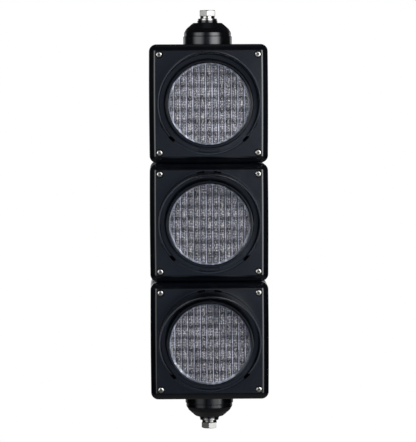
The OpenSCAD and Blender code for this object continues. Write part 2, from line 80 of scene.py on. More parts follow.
# Bends of the door's edge, from its side to its face: from degrees, to degrees, radius
EDGE_BENDS = ((0, 38, 4.2 * MM), (38, 50, 32.0 * MM), (50, 90, 5.0 * MM))
# Width of the flat strip beside an edge, which keeps the edge's shading off the face
HOLD = 0.2 * MM
SCREW_X = 61.1 * MM
SCREW_Z = 60.7 * MM
RECESS_DEPTH = 1.2
SCREW_PLACES = [(sx * SCREW_X, sz * SCREW_Z) for sx in (-1, 1) for sz in (-1, 1)]

# Round things about a lens axis
LENS_R = 52.0 * MM
OPTIC_R = 48.9 * MM
OPENING_R = 55.2 * MM
FLANGE_R = 60.0 * MM
VISOR_R = 63.6 * MM
VISOR_IN_R = 61.4 * MM
VISOR_HALF = math.radians(130)
GROOVE_GAP = 0.15 * MM
GROOVE_DEPTH = 1.5 * MM
SEEN_GROOVE_DEPTH = 2.6 * MM
LUG_ANGLES = [math.radians(a) for a in (90, -34, 214)]
LUG_HALF = math.radians(4)
SLOT_HALF = math.radians(13.5)
WINDOW_FROM = math.radians(5)
FOOT_REACH = 1.2 * MM
EAR_ANGLES = [math.radians(a) for a in (45, 135, 250, 290)]

# The optic's flutes, diode rows and fine ribs. The half puts a flute's middle on the lens axis,
# and the hundred keeps the count above zero.
FLUTE_PITCH = 7.9 * MM
FLUTE_START = 100.5
ROW_PITCH = 14.5 * MM
ROW_START = 100.0
RIB_PITCH = 1.9 * MM
# How pale each lens is; the upper lens is paler as painted light, for the brighter light on it
LENS_PALE = {"upper": 0.24, "middle": 0.207, "lower": 0.214}

# Swivel ends, in millimetres above the housing
RING_TOP = 10.4
CAP_FOOT = 10.45
CAP_TOP = 27.3
COLLAR_TOP = 30.2
WASHER_TOP = 32.7
SPRING_TOP = 35.8
HOLE_R = 6.5
BOLT_R = 6.0
BOLT_FLATS = 19.0
BOLT_HEAD = 7.5
BOLT_TURN = math.radians(26)
THREAD_PITCH = 1.75

# White floor, in metres below the head, and how strongly it lights the head
FLOOR_DROP = 0.9
FLOOR_GLOW = 0.15


# ---------------- places, from the frame

class Section:
    """Where one signal section's faces and axis are, in metres."""

    def __init__(self, name):
        self.name = name
        door_low, door_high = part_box(name + "_door")
        bezel_low, bezel_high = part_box(name + "_bezel")
        self.z = (door_low.z + door_high.z) / 2
        self.width = door_high.x - door_low.x
        self.height = door_high.z - door_low.z
        self.joint_y = door_high.y
        self.face_y = door_high.y - DOOR_DEPTH
        self.rim_y = bezel_low.y
        self.lens_front = -bezel_low.y - 2 * MM
        self.flange_back_y = bezel_high.y
        self.back_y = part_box(name + "_housing")[1].y


sections = [Section(name) for name in SECTIONS]


# ---------------- mesh tools

def fillet(points, radii, steps=4):
    """A closed outline with each corner rounded to its radius (0 keeps it sharp)."""
    out = []
    count = len(points)
    for i, (point, radius) in enumerate(zip(points, radii)):
        here = Vector(point)
        before = Vector(points[i - 1]) - here
        after = Vector(points[(i + 1) % count]) - here
        if radius <= 0:
            out.append(tuple(here))
            continue
        angle = before.angle(after)
        reach = min(radius / math.tan(angle / 2), before.length * 0.49, after.length * 0.49)
        start = here + before.normalized() * reach
        end = here + after.normalized() * reach
        for k in range(steps + 1):
            t = k / steps
            out.append(tuple((1 - t) ** 2 * start + 2 * t * (1 - t) * here + t ** 2 * end))
    return out


def finish_mesh(name, bm, material, smooth_angle=38):
    """Turns a bmesh into an object with smooth faces, sharp only past an angle."""
    bmesh.ops.remove_doubles(bm, verts=bm.verts, dist=1e-7)
    bmesh.ops.recalc_face_normals(bm, faces=bm.faces)
    mesh = bpy.data.meshes.new(name)
    bm.to_mesh(mesh)
    bm.free()
    mesh.polygons.foreach_set("use_smooth", [True] * len(mesh.polygons))
    mesh.set_sharp_from_angle(angle=math.radians(smooth_angle))
    mesh.materials.append(material)
    obj = bpy.data.objects.new(name, mesh)
    bpy.context.scene.collection.objects.link(obj)
    return obj


def weigh_normals(obj):
    """Keeps wide flat faces flat where they run into a rounded edge."""
    modifier = obj.modifiers.new("weighted normals", "WEIGHTED_NORMAL")
    modifier.keep_sharp = True
    modifier.weight = 80
    return obj


def skin(bm, rings, wrap_rings=True):
    """Joins rings of points, each of the same length, with quads."""
    verts = [[bm.verts.new(p) for p in ring] for ring in rings]
    ring_pairs = len(rings) if wrap_rings else len(rings) - 1
    for i in range(ring_pairs):
        a, b = verts[i], verts[(i + 1) % len(rings)]
        for j in range(len(a)):
            k = (j + 1) % len(a)
            bm.faces.new((a[j], a[k], b[k], b[j]))
    return verts


def front_point(section, r, forward, angle):
    """A point about a section's lens axis. forward is metres in front of the swivel plane."""
    return (r * math.cos(angle), -forward, section.z + r * math.sin(angle))


def level_rings(place, levels, segments):
    """A ring of points for each (radius, height)."""
    return [[place(r, h, a) for a in full_turn(segments)] for r, h in levels]


def closed_run(bm, rings):
    """Skins an open run of rings and closes its two ends."""
    verts = skin(bm, rings, wrap_rings=False)
    bm.faces.new(verts[0])
    bm.faces.new(verts[-1])


def full_turn(segments):
    """Angles in even steps round a circle."""
    return [2 * math.pi * k / segments for k in range(segments)]


def lathe(bm, profile, place, segments):
    """Solid of revolution from a closed profile of (radius, height) points."""
    angles = full_turn(segments)
    rings = [[place(max(r, 1e-9), h, a) for a in angles] for r, h in profile]
    skin(bm, rings)
    bmesh.ops.remove_doubles(bm, verts=bm.verts, dist=1e-8)


def turned_piece(name, outline, radii, place, material, segments, steps=3):
    """One piece turned from an outline with rounded corners."""
    bm = bmesh.new()
    lathe(bm, fillet(outline, radii, steps), place, segments)
    return finish_mesh(name, bm, material)


def arc_block(bm, section, angles, radii, forwards, steps=10):
    """Curved block about a lens axis, between two angles, two radii and two depths."""
    (inner, outer), (back, front) = radii, forwards
    corners = ((inner, back), (outer, back), (outer, front), (inner, front))
    rings = []
    for k in range(steps + 1):
        a = angles[0] + (angles[1] - angles[0]) * k / steps
        rings.append([front_point(section, r, forward, a) for r, forward in corners])
    closed_run(bm, rings)


def rounded_rect(half_w, half_h, radius, side_steps=16, corner_steps=10):
    """Points round a rectangle with rounded corners, from the middle of its right side."""
    ix, iz = half_w - radius, half_h - radius
    corners = [(ix, iz, 0.0), (-ix, iz, 0.5), (-ix, -iz, 1.0), (ix, -iz, 1.5)]
    arcs = []
    for cx, cz, turn in corners:
        angles = [math.pi * (turn + 0.5 * k / corner_steps) for k in range(corner_steps + 1)]
        arcs.append([(cx + radius * math.cos(a), cz + radius * math.sin(a)) for a in angles])
    points = []
    for arc, following in zip(arcs, arcs[1:] + arcs[:1]):
        start, end = arc[-1], following[0]
        points += arc
        for k in range(1, side_steps):
            t = k / side_steps
            points.append((start[0] * (1 - t) + end[0] * t, start[1] * (1 - t) + end[1] * t))
    return points


def cut(obj, cutters):
    """Cuts each bmesh in cutters out of obj, for good."""
    for bm in cutters:
        tool = finish_mesh("cutter", bm, obj.data.materials[0])
        modifier = obj.modifiers.new("cut", "BOOLEAN")
        modifier.operation = "DIFFERENCE"
        modifier.solver = "EXACT"
        modifier.object = tool
        bpy.context.view_layer.update()
        graph = bpy.context.evaluated_depsgraph_get()
        result = bpy.data.meshes.new_from_object(obj.evaluated_get(graph))
        obj.modifiers.remove(modifier)
        old = obj.data
        obj.data = result
        bpy.data.meshes.remove(old)
        bpy.data.objects.remove(tool)
    obj.data.polygons.foreach_set("use_smooth", [True] * len(obj.data.polygons))
    obj.data.set_sharp_from_angle(angle=math.radians(38))


# ---------------- material tools

class Graph:
    """Short hand for building a node tree."""

    def __init__(self, node_tree):
        self.nodes, self.links = node_tree.nodes, node_tree.links

    def add(self, kind, **settings):
        node = self.nodes.new(kind)
        for key, value in settings.items():
            setattr(node, key, value)
        return node

    def feed(self, socket, value):
        if hasattr(value, "is_linked"):
            self.links.new(value, socket)
        else:
            socket.default_value = value

    def wire(self, node, **values):
        """Feeds a node's inputs by name, and gives its outputs."""
        for key, value in values.items():
            self.feed(node.inputs[key.replace("_", " ")], value)
        return node.outputs

    def wire_first(self, node, *values):
        """Feeds a node's first inputs in order, and gives its outputs."""
        for socket, value in zip(node.inputs, values):
            self.feed(socket, value)
        return node.outputs

    def math(self, operation, a, b=0.0):
        return self.wire_first(self.add("ShaderNodeMath", operation=operation), a, b)[0]

    def chain(self, operation, values):
        whole = values[0]
        for value in values[1:]:
            whole = self.math(operation, whole, value)
        return whole

    def product(self, *factors):
        return self.chain("MULTIPLY", factors)

    def total(self, *terms):
        return self.chain("ADD", terms)

    def off_middle(self, value):
        """How far value is from the middle between two whole numbers, -0.5 to 0.5."""
        return self.math("SUBTRACT", self.math("FRACT", value), 0.5)

    def length(self, x, y):
        return self.math("SQRT", self.total(self.product(x, x), self.product(y, y)))

    def dot(self, a, b):
        return self.wire_first(self.add("ShaderNodeVectorMath", operation="DOT_PRODUCT"), a, b)["Value"]

    def span(self, value, low, high, out_low=0.0, out_high=1.0, shape="LINEAR"):
        """Maps low..high to out_low..out_high, and stops at both ends."""
        node = self.add("ShaderNodeMapRange", interpolation_type=shape)
        outputs = self.wire(node, Value=value, From_Min=low, From_Max=high, To_Min=out_low, To_Max=out_high)
        return outputs["Result"]


class Tree(Graph):
    """A material's node tree, from its object's own place."""

    def __init__(self, name):
        self.material = bpy.data.materials.new(name)
        self.material.use_nodes = True
        super().__init__(self.material.node_tree)
        self.shader = self.nodes["Principled BSDF"]
        self.place = self.add("ShaderNodeTexCoord").outputs["Object"]

    def noise(self, scale, detail=3.0, rough=0.5, place=None):
        node = self.add("ShaderNodeTexNoise")
        outputs = self.wire(node, Vector=place or self.place, Scale=scale, Detail=detail, Roughness=rough)
        return outputs["Fac"]

    def stretch(self, x, y, z):
        return self.wire(self.add("ShaderNodeMapping"), Vector=self.place, Scale=(x, y, z))["Vector"]

    def mix(self, factor, a, b):
        """Mixes two colours, through the Mix node's colour sockets."""
        node = self.add("ShaderNodeMix", data_type="RGBA")
        self.feed(node.inputs["Factor"], factor)
        self.feed(node.inputs[6], a)
        self.feed(node.inputs[7], b)
        return node.outputs[2]

    def bump(self, height, strength, distance):
        node = self.add("ShaderNodeBump")
        return self.wire(node, Height=height, Strength=strength, Distance=distance)["Normal"]

    def edges(self, radius):
        """1 on sharp edges and 0 on open faces, from how a bevel would turn the normal."""
        bevelled = self.wire(self.add("ShaderNodeBevel", samples=4), Radius=radius)["Normal"]
        open_normal = self.add("ShaderNodeNewGeometry").outputs["Normal"]
        return self.span(self.dot(bevelled, open_normal), 1.0, 0.85)

    def along(self, axis, vector=None):
        """Place along X, Y or Z, or that part of another vector."""
        axes = self.add("ShaderNodeSeparateXYZ")
        self.links.new(vector or self.place, axes.inputs[0])
        return axes.outputs[axis]

    def facing_front(self):
        """1 on faces that look forward and 0 on side walls."""
        normal = self.add("ShaderNodeTexCoord").outputs["Normal"]
        return self.product(self.along("Y", normal), -1.0)

    def lens_radius(self):
        """Distance from the nearest lens axis."""
        pitch = sections[0].z - sections[1].z
        low_edge = sections[1].z - pitch * 9.5
        rows = self.math("DIVIDE", self.math("SUBTRACT", self.along("Z"), low_edge), pitch)
        up = self.product(self.off_middle(rows), pitch)
        return self.length(self.along("X"), up)

    def openness(self, distance, closed=0.45, wide=0.85):
        """0 deep in a groove and 1 on an open face."""
        sky = self.wire(self.add("ShaderNodeAmbientOcclusion", samples=4), Distance=distance)["AO"]
        return self.span(sky, closed, wide)

    def set(self, **values):
        self.wire(self.shader, **values)
        return self.material

    def show(self, surface):
        """Shows another surface in place of the shader's."""
        self.feed(self.nodes["Material Output"].inputs["Surface"], surface)
        self.nodes.remove(self.shader)
        return self.material


def rgb(r, g, b):
    return (r, g, b, 1.0)


def shade(colour, scale, lift=0.0):
    """A colour made brighter or darker."""
    return rgb(*(c * scale + lift for c in colour[:3]))


def black_plastic(name, colour, rough, grain=0.5, wear=0.5, rub_and_highlight_lift=0.004, gloss=0.5, pocket_glow=None, rim=None):
    """Moulded black plastic: fine grain, slight sheen changes, dust, rubbed edges and painted shade in
    creases; options paint a glow into the hollow round a lens, a highlight on forward-facing rim faces and
    a highlight on edges through a large rub lift.
    """
    tree = Tree(name)
    patches = tree.noise(14.0, 4.0)
    specks = tree.noise(900.0, 2.0)
    dust = tree.span(tree.noise(60.0, 6.0, 0.7), 0.52, 0.75, 0.0, 0.35)
    rubbed = tree.product(tree.edges(0.5 * MM), tree.span(tree.noise(220.0), 0.35, 0.65, 0.2, wear))
    base = tree.mix(tree.product(dust, 0.6), colour, shade(colour, 1.0, 0.012))
    # Rubbed edges turn paler; a large lift, as on the visor, also paints a highlight along the edges.
    base = tree.mix(rubbed, base, shade(colour, 1.7, rub_and_highlight_lift))
    # Painted glow: within the visor's reach round each lens, enclosed places are lifted towards a paler
    # tone.
    if pocket_glow:
        deep = tree.math("SUBTRACT", 1.0, tree.openness(14 * MM, 0.35, 0.8))
        inside = tree.span(tree.lens_radius(), VISOR_R + 3 * MM, VISOR_R)
        base = tree.mix(tree.product(deep, inside), base, pocket_glow)
    # Painted highlight: forward-facing rim faces are lifted towards a paler tone, most to the left and
    # right, where the softboxes stand.
    if rim:
        forward = tree.span(tree.facing_front(), 0.5, 0.75)
        beside = tree.span(tree.math("ABSOLUTE", tree.along("X")), 20 * MM, 50 * MM, 0.2, 1.0)
        base = tree.mix(tree.product(forward, beside), base, rim)
    # Painted shade: narrow creases and grooves turn near black and lose most of their sheen.
    open_sky = tree.openness(1.6 * MM)
    base = tree.mix(open_sky, rgb(0.0016, 0.002, 0.0028), base)
    specular = tree.span(open_sky, 0.0, 1.0, gloss * 0.25, gloss)
    roughness = tree.total(tree.span(patches, 0.3, 0.7, rough - 0.035, rough + 0.045),
                          tree.product(dust, 0.08))
    height = tree.total(specks, tree.product(tree.noise(2600.0, 1.0), 0.5))
    return tree.set(Base_Color=base, Roughness=roughness, IOR=1.49, Specular_IOR_Level=specular,
                    Normal=tree.bump(height, 0.12 * grain, 0.08 * MM))


def rubber(name):
    tree = Tree(name)
    base = tree.mix(tree.noise(120.0, 5.0), rgb(0.006, 0.006, 0.0065), rgb(0.016, 0.016, 0.017))
    return tree.set(Base_Color=base, Roughness=tree.span(tree.noise(300.0), 0.3, 0.7, 0.62, 0.85),
                    Normal=tree.bump(tree.noise(1400.0, 2.0), 0.25, 0.1 * MM))


def steel(name, colour, rough, turned):
    """Bright steel with drawn or turned tool marks, which run round the given stretch."""
    tree = Tree(name)
    marks = tree.noise(1.0, 2.0, 0.6, tree.stretch(*turned))
    smudge = tree.noise(90.0, 3.0)
    base = tree.mix(tree.span(smudge, 0.4, 0.75, 0.0, 0.6), colour, shade(colour, 0.72))
    unevenness = tree.total(marks, tree.product(smudge, 0.6))
    roughness = tree.span(unevenness, 0.5, 1.1, rough * 0.7, rough * 1.5)
    return tree.set(Base_Color=base, Metallic=1.0, Roughness=roughness,
                    Normal=tree.bump(marks, 0.18, 0.05 * MM))


def plain_part(name, dark, light, rough, metal=0.0, scale=200.0):
    """A hidden part's material: two tones, uneven sheen and a fine grain."""
    tree = Tree(name)
    tone = tree.noise(scale, 4.0)
    return tree.set(Base_Color=tree.mix(tone, rgb(*dark), rgb(*light)), Metallic=metal,
                    Roughness=tree.span(tone, 0.3, 0.7, rough * 0.85, rough * 1.15),
                    Normal=tree.bump(tree.noise(scale * 6), 0.1, 0.05 * MM))


def clear_cover(name):
    """The lens disc's smooth front: clear, with a faint mirror image by angle."""
    tree = Tree(name)
    clear = tree.wire(tree.add("ShaderNodeBsdfTransparent"), Color=rgb(0.93, 0.94, 0.97))
    sheen = tree.span(tree.noise(90.0, 3.0), 0.35, 0.7, 0.07, 0.1)
    shine = tree.wire(tree.add("ShaderNodeBsdfGlossy"), Roughness=sheen)
    fresnel = tree.wire(tree.add("ShaderNodeFresnel"), IOR=1.32)
    both = tree.wire_first(tree.add("ShaderNodeMixShader"), fresnel[0], clear[0], shine[0])
    return tree.show(both[0])


def band(tree, value, middle, outer, inner):
    """1 where value is within inner of middle, falling to 0 at outer."""
    gap = tree.math("ABSOLUTE", tree.math("SUBTRACT", value, middle))
    return tree.span(gap, outer, inner)


def chance(tree, column, row, seed):
    """One random number for each whole column and row."""
    whole = [tree.math("FLOOR", column), tree.math("FLOOR", row)]
    cell = tree.wire_first(tree.add("ShaderNodeCombineXYZ"), *whole, seed)[0]
    white = tree.add("ShaderNodeTexWhiteNoise", noise_dimensions="3D")
    return tree.wire(white, Vector=cell)["Value"]


def flute_column(tree, side):
    """Counts the flutes from left to right."""
    return tree.total(tree.math("DIVIDE", side, FLUTE_PITCH), FLUTE_START)


class OpticGrid:
    """The optic's columns (one to a flute) and rows (one to a diode), seen from the front."""

    def __init__(self, tree, centre_z, seed):
        self.tree = tree
        self.side, self.height = tree.along("X"), tree.along("Z")
        wobble = tree.span(tree.noise(130.0 + seed, 2.0), 0.3, 0.7, -0.07, 0.07)
        self.column = flute_column(tree, self.side)
        from_middle = tree.math("SUBTRACT", self.height, centre_z)
        row = tree.total(tree.math("DIVIDE", from_middle, ROW_PITCH), ROW_START)
        self.row = tree.total(row, tree.product(wobble, 0.6))
        self.across = tree.off_middle(self.column)
        self.up = tree.off_middle(self.row)
        self.luck = chance(tree, self.column, self.row, seed + 0.3)
        self.block_luck = chance(tree, self.column, tree.total(self.row, 0.5), seed + 4.7)
        half_column = tree.total(self.column, 0.5)
        self.ridge_luck = chance(tree, half_column, tree.product(self.row, 1.7), seed + 9.1)
        self.rib_luck = chance(tree, self.column, 0.0, seed + 2.2)
        drift = tree.span(tree.noise(330.0 + seed, 1.0), 0.3, 0.7, -0.17, 0.17)
        self.shifted = tree.total(self.across, drift)
        lift = tree.span(tree.noise(280.0 + seed, 1.0), 0.3, 0.7, -0.2, 0.2)
        squashed = tree.total(tree.product(self.up, 1.7), lift)
        self.reach = tree.length(self.shifted, squashed)


def diode_marks(grid):
    """Dark rims, bright middles, dark frames and pale blobs of the diodes, each from 0 to 1."""
    tree = grid.tree
    eye = tree.product(tree.span(grid.reach, 0.46, 0.3), tree.span(grid.luck, 0.0, 1.0, 0.35, 1.0))
    pupil = tree.product(tree.span(grid.reach, 0.2, 0.07), grid.luck)
    frame_side = band(tree, tree.math("ABSOLUTE", grid.shifted), 0.17, 0.08, 0.03)
    away = tree.math("SUBTRACT", 0.5, tree.math("ABSOLUTE", grid.up))
    window = tree.product(frame_side, tree.span(away, 0.34, 0.3),
                          tree.span(grid.block_luck, 0.45, 0.6, 0.0, 0.6))
    spots = tree.noise(1.0, 1.0, 0.5, tree.stretch(420.0, 420.0, 150.0))
    blob = tree.product(tree.span(spots, 0.56, 0.68), band(tree, grid.shifted, 0.0, 0.3, 0.1))
    return eye, pupil, window, blob


def rim_glints(grid, seed):
    """Broken bright arcs at the optic's rim, scalloped by the flutes."""
    tree = grid.tree
    off_middle = tree.math("ABSOLUTE", grid.side)
    arcs = tree.product(tree.span(tree.noise(36.0 + seed, 2.0), 0.42, 0.56),
                        tree.span(off_middle, 10 * MM, 42 * MM, 0.4, 1.0))
    at_rim = tree.span(tree.lens_radius(), 47.5 * MM, 48.5 * MM)
    scallops = tree.span(tree.math("ABSOLUTE", grid.across), 0.18, 0.46, 0.3, 1.15)
    return tree.product(at_rim, arcs, scallops)


def flute_side_shade(grid):
    """Painted shade down each flute's left side, most in the lens's left half, and the other way round."""
    tree = grid.tree
    left = tree.product(band(tree, grid.across, -0.36, 0.1, 0.03),
                        tree.span(grid.side, 0.03, 0.005, 0.4, 1.0))
    right = tree.product(band(tree, grid.across, 0.33, 0.12, 0.05),
                         tree.span(grid.side, -0.02, 0.02, 0.3, 1.0))
    return tree.total(left, right)


def optic_tint(grid, ridge_highlight_mask, glow):
    """Cool tint on the painted ridge highlights and on the cells, with a warm tint where a diode glows."""
    tree = grid.tree
    cool = tree.mix(ridge_highlight_mask, rgb(1.06, 0.98, 0.93), rgb(1.0, 0.955, 1.05))
    warm = tree.product(glow, tree.span(grid.luck, 0.4, 0.7, 0.1, 1.0))
    return tree.mix(warm, cool, rgb(1.18, 1.06, 0.82))


def fluted_optic(name, centre_z, seed, pale):
    """Clear fluted plastic over the diodes: a painted highlight down each flute ridge with painted shade
    beside it, dark rows of diode rims, pale cells.
    """
    tree = Tree(name)
    grid = OpticGrid(tree, centre_z, seed)
    eye, pupil, window, blob = diode_marks(grid)
    dark_row = band(tree, grid.up, 0.0, 0.22, 0.08)
    ridge_highlight_mask = band(tree, tree.math("ABSOLUTE", grid.across), 0.5, 0.1, 0.03)
    rib_angle = tree.total(tree.product(grid.height, 2 * math.pi / RIB_PITCH),
                          tree.product(grid.rib_luck, 2 * math.pi))
    ribs = tree.math("SINE", rib_angle)
    stripes = tree.math("SINE", tree.product(grid.column, 6 * math.pi))
    fleck = tree.noise(1.0, 2.0, 0.6, tree.stretch(620.0, 620.0, 760.0))

    level = tree.span(grid.block_luck, 0.0, 1.0, pale * 0.72, pale * 1.22)
    level = tree.product(level, tree.span(dark_row, 0.0, 1.0, 1.1, 0.6), tree.span(eye, 0.0, 1.0, 1.0, 0.3))
    level = tree.total(level, tree.product(pupil, pale * 0.8))
    level = tree.product(level, tree.span(window, 0.0, 1.0, 1.0, 0.4), tree.span(ribs, -1.0, 1.0, 0.5, 1.5),
                         tree.span(stripes, -1.0, 1.0, 1.25, 0.75), tree.span(fleck, 0.36, 0.64, 0.25, 1.8))
    level = tree.total(level, tree.product(blob, pale * 0.9))
    # Painted shade beside each flute ridge.
    level = tree.product(level, tree.span(flute_side_shade(grid), 0.0, 1.0, 1.0, 0.22))
    # Painted highlight: a bright line down each flute ridge, over a darkened strip.
    ridge_highlight = tree.product(ridge_highlight_mask, tree.span(grid.ridge_luck, 0.0, 1.0, pale * 0.6, pale * 1.9))
    level = tree.total(tree.product(level, tree.span(ridge_highlight_mask, 0.0, 1.0, 1.0, 0.5)), ridge_highlight)
    level = tree.product(level, tree.span(tree.noise(30.0, 2.0), 0.3, 0.7, 0.85, 1.15))
    level = tree.total(level, tree.product(rim_glints(grid, seed), 0.75))
    contrast = tree.math("POWER", tree.math("DIVIDE", level, pale), 1.25)
    level = tree.product(contrast, pale * 0.96)
    level = tree.math("MINIMUM", tree.math("MAXIMUM", level, 0.01), 0.92)
    tint = optic_tint(grid, ridge_highlight_mask, tree.math("MAXIMUM", blob, tree.product(pupil, 0.6)))
    whole = tree.wire(tree.add("ShaderNodeVectorMath", operation="SCALE"), Vector=tint, Scale=level)
    return tree.set(Base_Color=whole[0], Roughness=tree.span(fleck, 0.3, 0.7, 0.28, 0.45), IOR=1.5,
                    Specular_IOR_Level=0.18, Normal=tree.bump(fleck, 0.2, 0.1 * MM))


def cut_edge(name):
    """The clear disc's cut edge: painted highlights in white arcs, clear and dark between them."""
    tree = Tree(name)
    arcs = tree.span(tree.noise(34.0, 2.0), 0.42, 0.6)
    nicks = tree.span(tree.noise(420.0, 3.0), 0.35, 0.6, 0.35, 1.0)
    across = tree.off_middle(flute_column(tree, tree.along("X")))
    scallops = tree.span(tree.math("ABSOLUTE", across), 0.15, 0.45, 0.35, 1.0)
    arcs = tree.product(arcs, scallops)
    base = tree.mix(tree.product(arcs, nicks), rgb(0.1, 0.105, 0.12), rgb(0.93, 0.95, 1.0))
    return tree.set(Base_Color=base, Metallic=tree.product(arcs, 0.55),
                    Roughness=tree.span(nicks, 0.3, 1.0, 0.5, 0.28),
                    Normal=tree.bump(tree.noise(900.0, 2.0), 0.2, 0.1 * MM))


# Tone of the painted glow in the hollow round each lens.
painted_pocket_glow = rgb(0.024, 0.028, 0.036)
# Tone of the painted highlight on the visor's front rim.
painted_rim_highlight = rgb(0.036, 0.04, 0.05)
door_black = black_plastic("door plastic", rgb(0.0015, 0.0019, 0.0031), 0.15, grain=0.4, pocket_glow=painted_pocket_glow)
housing_black = black_plastic("housing plastic", rgb(0.03, 0.033, 0.04), 0.36, grain=0.8)
# The visor's large rub lift and wear stand for rubbed edges and a painted highlight along its front rim.
visor_black = black_plastic("visor plastic", rgb(0.0022, 0.0027, 0.0042), 0.17, grain=0.4, wear=0.9,
                           rub_and_highlight_lift=0.02, pocket_glow=painted_pocket_glow, rim=painted_rim_highlight)
bezel_black = black_plastic("bezel plastic", rgb(0.0026, 0.0036, 0.006), 0.22, grain=0.4, gloss=0.3,
                           pocket_glow=painted_pocket_glow)
swivel_black = black_plastic("swivel plastic", rgb(0.0018, 0.0019, 0.0026), 0.18, grain=0.3, wear=0.7,
                            gloss=0.42)
gland_black = black_plastic("gland plastic", rgb(0.01, 0.01, 0.011), 0.4, grain=0.6)
seal_rubber = rubber("seal rubber")
bolt_steel = steel("bolt steel", rgb(0.28, 0.268, 0.255), 0.17, (300.0, 300.0, 2600.0))
screw_steel = steel("screw steel", rgb(0.5, 0.48, 0.44), 0.24, (1800.0, 300.0, 1800.0))
lens_edge = cut_edge("lens edge")
# Painted shade: near-black tone for the discs set into the screw sockets.
socket_shade = plain_part("socket", (0.012, 0.011, 0.01), (0.03, 0.028, 0.025), 0.6, scale=500.0)
hidden = {
    "cup_plastic": plain_part("cup plastic", (0.012, 0.013, 0.015), (0.022, 0.023, 0.026), 0.5),
    "circuit_board": plain_part("circuit board", (0.5, 0.52, 0.5), (0.72, 0.73, 0.7), 0.45, scale=90.0),
    "led_resin": plain_part("diode resin", (0.55, 0.57, 0.62), (0.8, 0.82, 0.86), 0.12, scale=400.0),
    "zinc_steel": plain_part("zinc steel", (0.5, 0.5, 0.49), (0.68, 0.68, 0.66), 0.35, 1.0),
    "brass_insert": plain_part("brass", (0.5, 0.36, 0.13), (0.68, 0.52, 0.22), 0.35, 1.0),
    "terminal_plastic": plain_part("terminal plastic", (0.6, 0.57, 0.48), (0.72, 0.69, 0.6), 0.5),
    "wire_sleeve": plain_part("wire sleeve", (0.2, 0.02, 0.015), (0.35, 0.04, 0.03), 0.4),
}
shown = {
    "housing_plastic": housing_black, "door_plastic": door_black, "visor_plastic": visor_black,
    "bezel_plastic": bezel_black, "swivel_plastic": swivel_black, "gland_plastic": gland_black,
    "seal_rubber": seal_rubber, "stainless": bolt_steel,
}
node_slots = {entry["node"]: entry["material_slot"] for entry in frame["record"]["subparts"]}
for node, obj in frame["nodes"].items():
    material = shown.get(node_slots[node]) or hidden.get(node_slots[node]) or seal_rubber
    for slot in obj.material_slots:
        slot.material = material


def keep(piece, body, node):
    """Rides a piece on its body, in place of its CAD node."""
    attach(piece, body)
    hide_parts(node)


def add_to_head(piece):
    """Rides a piece that has no CAD node of its own on the head."""
    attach(piece, "head")


# ---------------- doors and housings

def plane_ring(section, outline, y):
    return [(x, y, section.z + z) for x, z in outline]


def inset_outline(section, inset):
    radius = max(CORNER_R - inset, 0.4 * MM)
    straight = rounded_rect(section.width / 2 - inset, section.height / 2 - inset, radius)
    return [(x * (1 - CROWN * (2 * z / section.height) ** 2), z) for x, z in straight]


def inset_rings(section, levels):
    """Rings of the section's outline at levels of (inset, y)."""
    return [plane_ring(section, inset_outline(section, inset), y) for inset, y in levels]


def circle_outline(section, radius):
    """A circle with its points in line with those of the section's outline."""
    angles = [math.atan2(z, x) for x, z in inset_outline(section, 0)]
    return [(radius * math.cos(a), radius * math.sin(a)) for a in angles]


def round_over(radius, steps=8):
    """(inset, drop) pairs round a quarter turn, from the side to the face."""
    angles = [math.pi / 2 * k / steps for k in range(steps + 1)]
    return [(radius * (1 - math.cos(a)), radius * (1 - math.sin(a))) for a in angles]


def door_edge(steps=8):
    """(inset, drop) pairs from the side to the face, over bends of (from degrees, to degrees, radius)."""
    inset = drop = 0.0
    pairs = [(inset, drop)]
    for start, end, radius in EDGE_BENDS:
        for k in range(steps):
            a = math.radians(start + (end - start) * k / steps)
            b = math.radians(start + (end - start) * (k + 1) / steps)
            inset -= radius * (math.sin(b) - math.sin(a))
            drop += radius * (math.cos(a) - math.cos(b))
            pairs.append((inset, drop))
    width = -inset
    return [(width + inset, drop) for inset, drop in reversed(pairs)]


def face_path():
    """(radius, drop) pairs over the door's face, in across the visor's groove to the lens opening."""
    groove_out = VISOR_R + GROOVE_GAP
    groove_in = VISOR_IN_R - GROOVE_GAP
    edge = 0.22 * MM
    chamfer = 0.5 * MM
    return [
        (groove_out + edge + HOLD, 0), (groove_out + edge, 0), (groove_out + edge * 0.3, edge * 0.3),
        (groove_out, edge), (groove_out, SEEN_GROOVE_DEPTH), (groove_in, SEEN_GROOVE_DEPTH),
        (groove_in, edge), (groove_in - edge * 0.3, edge * 0.3), (groove_in - edge, 0),
        (groove_in - edge - HOLD, 0), (OPENING_R + chamfer + HOLD, 0), (OPENING_R + chamfer, 0),
        (OPENING_R + chamfer * 0.3, chamfer * 0.3), (OPENING_R, chamfer), (OPENING_R, PLATE),
        (FLANGE_R, PLATE),
    ]


def door_shell(section):
    """The door's bowl: up its side, in over its face, and back out along its inside."""
    joint, face = section.joint_y, section.face_y
    edge = door_edge()
    edge_width = edge[-1][0]
    levels = [(JOINT_EDGE, joint), (0, joint - JOINT_EDGE)]
    levels += [(inset, face + drop) for inset, drop in edge]
    levels.append((edge_width + HOLD, face))
    rings = inset_rings(section, levels)
    rings += [plane_ring(section, circle_outline(section, r), face + drop) for r, drop in face_path()]
    inner_edge = round_over(edge_width - WALL, 4)
    levels = [(WALL + inset, face + PLATE + drop) for inset, drop in reversed(inner_edge)]
    levels += [(WALL, joint - LEDGE), (2 * WALL, joint - LEDGE), (2 * WALL, joint)]
    rings += inset_rings(section, levels)
    bm = bmesh.new()
    skin(bm, rings)
    return finish_mesh(section.name + "_door_shell", bm, door_black)


def about_screw(section, x, z):
    """Places (radius, height) in millimetres about a screw's axis, from its recess's floor."""
    def place(r, h, a):
        forward = (h - RECESS_DEPTH) * MM
        return (x + r * MM * math.cos(a), section.face_y - forward, section.z + z + r * MM * math.sin(a))

    return place


